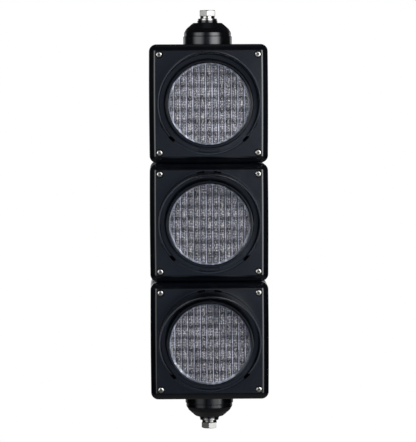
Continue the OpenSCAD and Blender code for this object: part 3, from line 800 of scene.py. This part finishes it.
def screw_recesses(section):
    """Cutter for the stepped recess of each corner screw."""
    bm = bmesh.new()
    profile = fillet([(0, 0), (4.7, 0), (4.7, 1.1), (5.6, 2.7), (0, 2.7)], [0, 0.3, 0.35, 0, 0], 3)
    for x, z in SCREW_PLACES:
        lathe(bm, profile, about_screw(section, x, z), 48)
    return bm


def foot_slots(section):
    """Cutter for the slots beside each of the visor's feet."""
    bm = bmesh.new()
    radii = (VISOR_IN_R + 0.1 * MM, VISOR_R + FOOT_REACH + 0.2 * MM)
    forwards = (-section.face_y - PLATE - 2 * MM, -section.face_y + 2 * MM)
    for lug in LUG_ANGLES:
        for side in (-1, 1):
            arc_block(bm, section, (lug + side * WINDOW_FROM, lug + side * SLOT_HALF), radii, forwards)
    return bm


def door_pad(section):
    """Raised strip under the bezel, low at its two ends."""
    half = math.radians(12.5)
    outline = fillet([(56.6, -1), (60.4, -1), (60.4, 1.4), (56.6, 1.4)], [0, 0, 0.45, 0.45], 3)
    steps = 24
    rings = []
    for k in range(steps + 1):
        a = math.radians(270) - half + 2 * half * k / steps
        lift = min(1.0, min(k, steps - k) / 1.5 + 0.35)
        rings.append([front_point(section, r * MM, -section.face_y + h * MM * (lift if h > 0 else 1), a)
                      for r, h in outline])
    bm = bmesh.new()
    closed_run(bm, rings)
    pad = finish_mesh(section.name + "_door_pad", bm, door_black)
    add_to_head(pad)


def door_mesh(section):
    door = door_shell(section)
    cut(door, [screw_recesses(section), foot_slots(section)])
    door_pad(section)
    keep(weigh_normals(door), "head", section.name + "_door")


def housing_mesh(section):
    joint, back = section.joint_y, section.back_y
    outer_levels = [(2 * WALL, joint), (JOINT_EDGE, joint), (0, joint + JOINT_EDGE)]
    outer_levels += [(inset, back - drop) for inset, drop in round_over(BACK_R, 7)]
    outer_levels.append((12 * MM, back))
    inner_levels = [(2 * WALL, joint + LEDGE), (WALL, joint + LEDGE)]
    inner_levels += [(WALL + inset, back - WALL - drop) for inset, drop in round_over(BACK_R - WALL, 3)]
    bm = bmesh.new()
    outer = skin(bm, inset_rings(section, outer_levels), wrap_rings=False)
    inner = skin(bm, inset_rings(section, inner_levels), wrap_rings=False)
    bm.faces.new(outer[-1])
    bm.faces.new(inner[-1])
    for j in range(len(outer[0])):
        k = (j + 1) % len(outer[0])
        bm.faces.new((outer[0][j], outer[0][k], inner[0][k], inner[0][j]))
    shell = finish_mesh(section.name + "_housing_shell", bm, housing_black)
    keep(weigh_normals(shell), "head", section.name + "_housing")


# ---------------- visors, bezels, lenses

def visor_feet(bm, section, foot):
    """Stems through the door's plate, each with a toe that reaches out behind it."""
    plate = -section.face_y - PLATE
    for lug in LUG_ANGLES:
        ends = (lug - LUG_HALF, lug + LUG_HALF)
        arc_block(bm, section, ends, (VISOR_IN_R + 0.3 * MM, VISOR_R - 0.3 * MM),
                  (plate - 1.5 * MM, foot + 1.5 * MM))
        arc_block(bm, section, ends, (VISOR_IN_R + 0.4 * MM, VISOR_R + FOOT_REACH),
                  (plate - 2.05 * MM, plate - 0.05 * MM))


def visor_mesh(section):
    """Cutaway tube whose front runs down along a slant, with a softly crowned edge."""
    face = -section.face_y
    reach = -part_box(section.name + "_visor")[0].y - face
    end_z = VISOR_R * math.sin(math.pi / 2 - VISOR_HALF)
    end_reach = 3.0 * MM
    rise = (reach - end_reach) / (VISOR_R - end_z)

    def front(r, angle):
        return face + end_reach + rise * (r * math.sin(angle) - end_z)

    foot = face - GROOVE_DEPTH + 0.05 * MM
    middle, half = (VISOR_R + VISOR_IN_R) / 2, (VISOR_R - VISOR_IN_R) / 2
    corner, crown = 0.25 * MM, 0.4 * MM
    steps = 220
    rings = []
    for k in range(steps + 1):
        angle = math.pi / 2 - VISOR_HALF + 2 * VISOR_HALF * k / steps
        ring = [front_point(section, VISOR_R, foot, angle)]
        ring.append(front_point(section, VISOR_R, front(VISOR_R, angle) - crown - corner, angle))
        for j in range(9):
            share = 1 - j / 4
            r = middle + share * (half - corner * share ** 8)
            ring.append(front_point(section, r, front(r, angle) - crown * share ** 2, angle))
        ring.append(front_point(section, VISOR_IN_R, front(VISOR_IN_R, angle) - crown - corner, angle))
        ring.append(front_point(section, VISOR_IN_R, foot, angle))
        rings.append(ring)
    bm = bmesh.new()
    closed_run(bm, rings)
    visor_feet(bm, section, foot)
    visor = finish_mesh(section.name + "_visor_shell", bm, visor_black)
    keep(weigh_normals(visor), section.name + "_hood", section.name + "_visor")


def bezel_mesh(section):
    rim = -section.rim_y / MM
    flange = -section.flange_back_y / MM + 2.5
    bm = bmesh.new()
    profile = fillet([
        (50.0, rim - 2), (50.0, rim - 0.9), (51.3, rim), (53.5, rim), (53.5, flange), (60.0, flange),
        (60.0, flange - 2.5), (52.1, flange - 2.5), (52.1, rim - 2),
    ], [0.3, 0.4, 0.4, 0.8, 0.5, 0.3, 0.2, 0.2, 0.1], 4)

    def place(r, h, a):
        return front_point(section, r * MM, h * MM, a)

    lathe(bm, profile, place, 192)
    nub_half = math.radians(1.7)
    for k in range(8):
        mid = math.pi / 4 * k
        arc_block(bm, section, (mid - nub_half, mid + nub_half), (53.2 * MM, 54.75 * MM),
                  ((rim - 9) * MM, (rim - 3) * MM), 3)
    ear_half = math.radians(3)
    for mid in EAR_ANGLES:
        arc_block(bm, section, (mid - ear_half, mid + ear_half), (59 * MM, 69.4 * MM),
                  ((flange - 2.5) * MM, flange * MM), 3)
    bezel = finish_mesh(section.name + "_bezel_tube", bm, bezel_black)
    bevel = bezel.modifiers.new("soft edges", "BEVEL")
    bevel.width = 0.25 * MM
    bevel.segments = 2
    bevel.limit_method = "ANGLE"
    bevel.angle_limit = math.radians(50)
    keep(weigh_normals(bezel), "head", section.name + "_bezel")


def optic_height(x, z):
    """Relief of the fluted optic, forward of its plane: round flutes crossed by fine ribs."""
    across = ((x / FLUTE_PITCH + FLUTE_START) % 1.0 - 0.5) * FLUTE_PITCH
    bulge = math.sqrt((8 * MM) ** 2 - across ** 2) - 7 * MM
    rib = abs(math.sin(math.pi * z / RIB_PITCH)) * 0.15 * MM
    return bulge + rib


def about_lens(section):
    """Places (radius, height) in millimetres about the lens axis, from the lens's front."""
    def place(r, h, a):
        return front_point(section, r * MM, section.lens_front + h * MM, a)

    return place


def lens_cover(section):
    rim_r = LENS_R / MM - 0.1
    outline = [(0, 0), (rim_r - 1, 0), (rim_r, 0), (rim_r, -1.2), (rim_r - 1, -1.2), (0, -1.2)]
    cover = turned_piece(section.name + "_lens_cover", outline, [0, 0, 0.3, 0.2, 0, 0], about_lens(section),
                         clear_cover(section.name + " lens cover"), 128)
    keep(cover, "head", section.name + "_lens")


def lens_optic(section):
    """Fluted sheet behind the cover, on a square grid that is trimmed to a circle."""
    plane = section.lens_front - 6.2 * MM
    step = 0.46 * MM
    count = int(OPTIC_R / step) + 2
    bm = bmesh.new()
    grid = {}
    for i in range(-count, count + 1):
        for j in range(-count, count + 1):
            x, z = i * step, j * step
            r = math.hypot(x, z)
            if r > OPTIC_R + 1.5 * step:
                continue
            if r > OPTIC_R:
                x, z = x * OPTIC_R / r, z * OPTIC_R / r
            grid[i, j] = bm.verts.new((x, -(plane + optic_height(x, z)), section.z + z))
    for (i, j), corner in grid.items():
        cells = ((i, j), (i + 1, j), (i + 1, j + 1), (i, j + 1))
        others = [grid.get(cell) for cell in cells[1:]]
        if all(others) and any(math.hypot(a * step, b * step) < OPTIC_R for a, b in cells):
            bm.faces.new((corner, *others))
    loose = [v for v in bm.verts if not v.link_faces]
    bmesh.ops.delete(bm, geom=loose, context="VERTS")
    seed = SECTIONS.index(section.name) * 3.7
    material = fluted_optic(section.name + " optic", section.z, seed, LENS_PALE[section.name])
    optic = finish_mesh(section.name + "_lens_optic", bm, material, 60)
    optic.modifiers.new("body", "SOLIDIFY").thickness = 0.6 * MM
    add_to_head(optic)


def lens_rim(section):
    outline = [(48.7, -5.6), (50.9, -5.6), (50.9, -1.3), (50.5, -1.35), (48.7, -2.1)]
    rim = turned_piece(section.name + "_lens_edge", outline, [0, 0.1, 0.1, 0.2, 0.2], about_lens(section),
                       lens_edge, 160)
    add_to_head(rim)


# ---------------- fasteners and swivel ends

def hex_radius(angle, flats):
    """Distance from the centre of a hexagon to its side, in the direction of angle."""
    sector = (angle % (math.pi / 3)) - math.pi / 6
    return flats / 2 / math.cos(sector)


def hex_head(bm, place, flats, height, foot, segments=96):
    """Turned hex head: top chamfered by a cone and a soft lower edge."""
    chamfer_r = flats / 2 * 0.95
    angles = full_turn(segments)

    def drop(r):
        return max(0.0, r - chamfer_r) * math.tan(math.radians(30))

    top = foot + height
    middle = 0.0001
    sides = [hex_radius(a, flats) for a in angles]
    rings = [[place(middle, foot, a) for a in angles]]
    rings.append([place(side - 0.3, foot, a) for side, a in zip(sides, angles)])
    rings.append([place(side, foot + 0.3, a) for side, a in zip(sides, angles)])
    rings.append([place(side, top - drop(side) - 0.12, a) for side, a in zip(sides, angles)])
    for share in (0.985, 0.95, 0.9):
        rings.append([place(side * share, top - drop(side * share), a) for side, a in zip(sides, angles)])
    for r in (chamfer_r * 0.8, chamfer_r * 0.6, chamfer_r * 0.4, middle):
        rings.append([place(r, top, a) for a in angles])
    skin(bm, rings, wrap_rings=False)
    bmesh.ops.remove_doubles(bm, verts=bm.verts, dist=0.5e-6)


def door_screw_mesh():
    """All the door screws as one piece, and dark discs in their sockets, as painted shade, as another."""
    screw_bm, socket_shade_bm = bmesh.new(), bmesh.new()
    socket_shade_disc = ((0.001, 1.3), (1.5, 1.3), (1.5, 1.8), (0.001, 1.8))
    for section in sections:
        for x, z in SCREW_PLACES:
            place = about_screw(section, x, z)
            add_door_screw(screw_bm, place)
            skin(socket_shade_bm, level_rings(place, socket_shade_disc, 24), wrap_rings=False)
    screws = finish_mesh("door_screw_set", screw_bm, screw_steel)
    keep(weigh_normals(screws), "head", "door_screws")
    sockets = finish_mesh("door_screw_socket_shade", socket_shade_bm, socket_shade)
    add_to_head(sockets)


def add_door_screw(bm, place):
    """Button head with a hex socket, and its shank."""
    turn = random.uniform(0, math.pi / 3)
    segments = 48
    levels = [(0.001, -21.9), (1.7, -21.9), (1.95, -21.4), (1.95, 0.0), (3.55, 0.0), (3.8, 0.2), (3.8, 0.7)]
    for k in range(1, 7):
        t = math.pi / 2 * k / 6
        levels.append((2.05 + 1.75 * math.cos(t), 0.7 + 1.5 * math.sin(t)))
    rings = level_rings(place, levels, segments)
    for grow, h in ((0.12, 2.2), (0.0, 2.05), (0.0, 0.85)):
        rings.append([place(hex_radius(a + turn, 2.9) + grow, h, a) for a in full_turn(segments)])
    rings += level_rings(place, [(0.001, 0.55)], segments)
    skin(bm, rings, wrap_rings=False)


def end_meshes(end, flip):
    """Base ring, cap, collar, washers and bolt of one swivel end, in millimetres from the housing."""
    ring_low, ring_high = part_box(end + "_base_ring")
    foot_z = ring_high.z - RING_TOP * MM if flip > 0 else ring_low.z + RING_TOP * MM
    body = end + "_mount"

    def place(r, h, a):
        return (r * MM * math.cos(a), r * MM * math.sin(a), foot_z + flip * h * MM)

    def turned(name, points, radii, material, owner):
        obj = turned_piece(end + "_" + name + "_turned", points, radii, place, material, 144, 4)
        keep(weigh_normals(obj), owner, end + "_" + name)

    ring_profile = [(6.08, -3), (14.9, -3), (14.9, 0), (17, 0), (17, 6.4), (26.5, 6.4), (26.5, 0),
                    (30.55, 0), (30.55, RING_TOP), (6.08, RING_TOP)]
    turned("base_ring", ring_profile, [0, 0.2, 0, 0, 0.5, 0.5, 0.2, 0.25, 0.7, 0], swivel_black, "head")
    cap_profile = [(HOLE_R, CAP_FOOT), (10.5, CAP_FOOT), (10.5, 22.3), (15.5, 22.3), (25.4, 13.4),
                   (25.4, CAP_FOOT), (29.45, CAP_FOOT), (29.45, 15.0), (26.6, 20.0), (21.4, 24.6),
                   (18.2, CAP_TOP), (HOLE_R, CAP_TOP)]
    cap_radii = [0, 0.2, 0.6, 0.6, 0.6, 0.2, 0.35, 3.0, 5.0, 5.0, 1.6, 0.2]
    turned("cap", cap_profile, cap_radii, swivel_black, body)
    collar_profile = [(HOLE_R, CAP_TOP), (12.65, CAP_TOP), (12.65, COLLAR_TOP), (HOLE_R, COLLAR_TOP)]
    turned("collar", collar_profile, [0.2, 0.15, 0.5, 0.2], swivel_black, body)
    washer_profile = [(HOLE_R, COLLAR_TOP), (12.0, COLLAR_TOP), (12.0, WASHER_TOP), (HOLE_R, WASHER_TOP)]
    turned("flat_washer", washer_profile, [0.1, 0.35, 0.35, 0.1], bolt_steel, body)
    spring_washer_mesh(end, place, body)
    bolt_mesh(end, place, body)


def spring_washer_mesh(end, place, body):
    """Split ring whose ends stand a little apart."""
    bm = bmesh.new()
    inner, outer = 6.1, 9.2
    outline = fillet([(inner, WASHER_TOP), (outer, WASHER_TOP), (outer, SPRING_TOP), (inner, SPRING_TOP)],
                     [0.2, 0.35, 0.35, 0.2], 3)
    middle = (WASHER_TOP + SPRING_TOP) / 2
    slant = 0.02
    gap = math.radians(7)
    start = math.radians(-52)
    steps = 96
    rings = []
    for k in range(steps + 1):
        a = start + gap + (2 * math.pi - 2 * gap) * k / steps
        rings.append([place(r, h, a + (h - middle) * slant) for r, h in outline])
    closed_run(bm, rings)
    washer = finish_mesh(end + "_spring_washer_split", bm, bolt_steel)
    keep(weigh_normals(washer), body, end + "_spring_washer")


def bolt_mesh(end, place, body):
    """Hex head over a plain shank that ends in turned grooves."""
    bm = bmesh.new()
    hex_head(bm, lambda r, h, a: place(r, h, a + BOLT_TURN), BOLT_FLATS, BOLT_HEAD, SPRING_TOP)
    middle, root = 0.001, 5.1
    thread_top, turns, end_h = 5.0, 14, -19.1
    levels = [(middle, SPRING_TOP + 0.1), (BOLT_R, SPRING_TOP + 0.1), (BOLT_R, 6.0)]
    for k in range(turns):
        h = thread_top - k * THREAD_PITCH
        levels += [(BOLT_R, h - 0.1), (root, h - THREAD_PITCH * 0.45), (BOLT_R, h - THREAD_PITCH * 0.9)]
    levels += [(root + 0.1, end_h), (middle, end_h - 0.1)]
    skin(bm, level_rings(place, levels, 64), wrap_rings=False)
    bolt = finish_mesh(end + "_bolt_turned", bm, bolt_steel, 30)
    keep(weigh_normals(bolt), body, end + "_bolt")


for section in sections:
    door_mesh(section)
    housing_mesh(section)
    visor_mesh(section)
    bezel_mesh(section)
    lens_cover(section)
    lens_optic(section)
    lens_rim(section)
door_screw_mesh()
end_meshes("top", 1)
end_meshes("bottom", -1)


# ---------------- stage, light and camera

def stage_floor():
    """White floor under the hanging head, which lights it a little from below."""
    bm = bmesh.new()
    size = 14.0
    floor_z = cad_low.z - FLOOR_DROP
    corners = ((-size, -size), (size, -size), (size, size), (-size, size))
    bm.faces.new([bm.verts.new((x, y, floor_z)) for x, y in corners])
    tree = Tree("pale floor")
    glow = tree.add("ShaderNodeEmission")
    away = tree.wire(tree.add("ShaderNodeVectorMath", operation="LENGTH"), Vector=tree.place)["Value"]
    near = tree.span(away, 2.6, 1.1, 0.0, FLOOR_GLOW)
    path = tree.add("ShaderNodeLightPath")
    tree.feed(glow.inputs["Strength"], tree.math("MAXIMUM", near, path.outputs["Is Camera Ray"]))
    tree.show(glow.outputs[0])
    finish_mesh("floor", bm, tree.material)


def soft_edges(obj):
    """Fades a light's emission towards its four edges, as a softbox's cloth does."""
    light = obj.data
    light.use_nodes = True
    graph = Graph(light.node_tree)
    place = graph.add("ShaderNodeNewGeometry").outputs["Position"]
    fades = []
    for axis, length in ((0, light.size), (1, light.size_y)):
        direction = obj.rotation_euler.to_matrix().col[axis] / length
        from_middle = graph.math("SUBTRACT", graph.dot(place, direction), direction.dot(obj.location))
        fades.append(graph.span(graph.math("ABSOLUTE", from_middle), 0.5, 0.08, shape="SMOOTHSTEP"))
    graph.feed(graph.nodes["Emission"].inputs["Strength"], graph.product(*fades))


def softbox(name, azimuth, elevation, distance, width, height, radiance, colour=(0.95, 0.98, 1.0)):
    """Area light that looks at the middle of the head. Azimuth 0 is in front, 90 to the right."""
    light = bpy.data.lights.new(name, "AREA")
    light.shape = "RECTANGLE"
    light.size, light.size_y = width, height
    light.energy = radiance * math.pi * width * height
    light.color = colour
    obj = bpy.data.objects.new(name, light)
    bpy.context.scene.collection.objects.link(obj)
    a, e = math.radians(azimuth), math.radians(elevation)
    away = Vector((math.sin(a) * math.cos(e), -math.cos(a) * math.cos(e), math.sin(e)))
    obj.location = centre + away * distance
    obj.rotation_euler = away.to_track_quat("Z", "Y").to_euler()
    obj.visible_camera = False
    soft_edges(obj)


def white_surround():
    """White to the camera, dim to everything else, so that the black parts keep their depth."""
    world = bpy.data.worlds.new("surround")
    bpy.context.scene.world = world
    world.use_nodes = True
    graph = Graph(world.node_tree)
    graph.nodes.clear()
    both = graph.add("ShaderNodeMixShader")
    graph.feed(both.inputs[0], graph.add("ShaderNodeLightPath").outputs["Is Camera Ray"])
    backgrounds = ((1, rgb(0.95, 0.97, 1.0), 0.03), (2, rgb(1.0, 1.0, 1.0), 1.0))
    for index, colour, strength in backgrounds:
        background = graph.wire(graph.add("ShaderNodeBackground"), Color=colour, Strength=strength)
        graph.feed(both.inputs[index], background[0])
    graph.feed(graph.add("ShaderNodeOutputWorld").inputs["Surface"], both.outputs[0])


def photo_camera():
    """Long lens a little above the head, aimed slightly down."""
    left, before, above = 54.7 * MM, 2600 * MM, 174 * MM
    spot = Vector((-left, sections[1].face_y - before, sections[1].z + above))
    yaw, pitch, roll = math.radians(1.17), math.radians(3.772), math.radians(-0.28)
    ahead = Vector((math.sin(yaw) * math.cos(pitch), math.cos(yaw) * math.cos(pitch), -math.sin(pitch)))
    level = Vector((math.cos(yaw), -math.sin(yaw), 0))
    upright = level.cross(ahead)
    right = level * math.cos(roll) + upright * math.sin(roll)
    up = upright * math.cos(roll) - level * math.sin(roll)
    data = bpy.data.cameras.new("camera")
    data.lens = 171.0
    data.clip_end = 100.0
    camera = bpy.data.objects.new("camera", data)
    bpy.context.scene.collection.objects.link(camera)
    turn = Matrix((right, up, -ahead)).transposed().to_4x4()
    camera.matrix_world = Matrix.Translation(spot) @ turn
    bpy.context.scene.camera = camera


centre = Vector((0, 0, sections[1].z))
stage_floor()
white_surround()
softbox("left softbox", -45, 10, 2.0, 2.5, 2.6, 3.8)
softbox("right softbox", 34, 10, 2.0, 2.4, 2.6, 8.2)
softbox("front panel", 1, -1.5, 2.9, 2.0, 2.6, 0.48, (0.57, 0.7, 1.0))
softbox("low right panel", 52, -14, 1.9, 0.7, 0.6, 3.2)
softbox("rear panel", 180, -14, 2.6, 2.6, 2.0, 2.2)
softbox("rear left softbox", -145, 3, 2.4, 1.6, 2.2, 1.1)
softbox("rear right softbox", 145, 3, 2.4, 1.6, 2.2, 0.9)
softbox("top softbox", 180, 78, 2.4, 1.4, 1.4, 0.15)
photo_camera()
bpy.context.scene.view_settings.view_transform = "Standard"
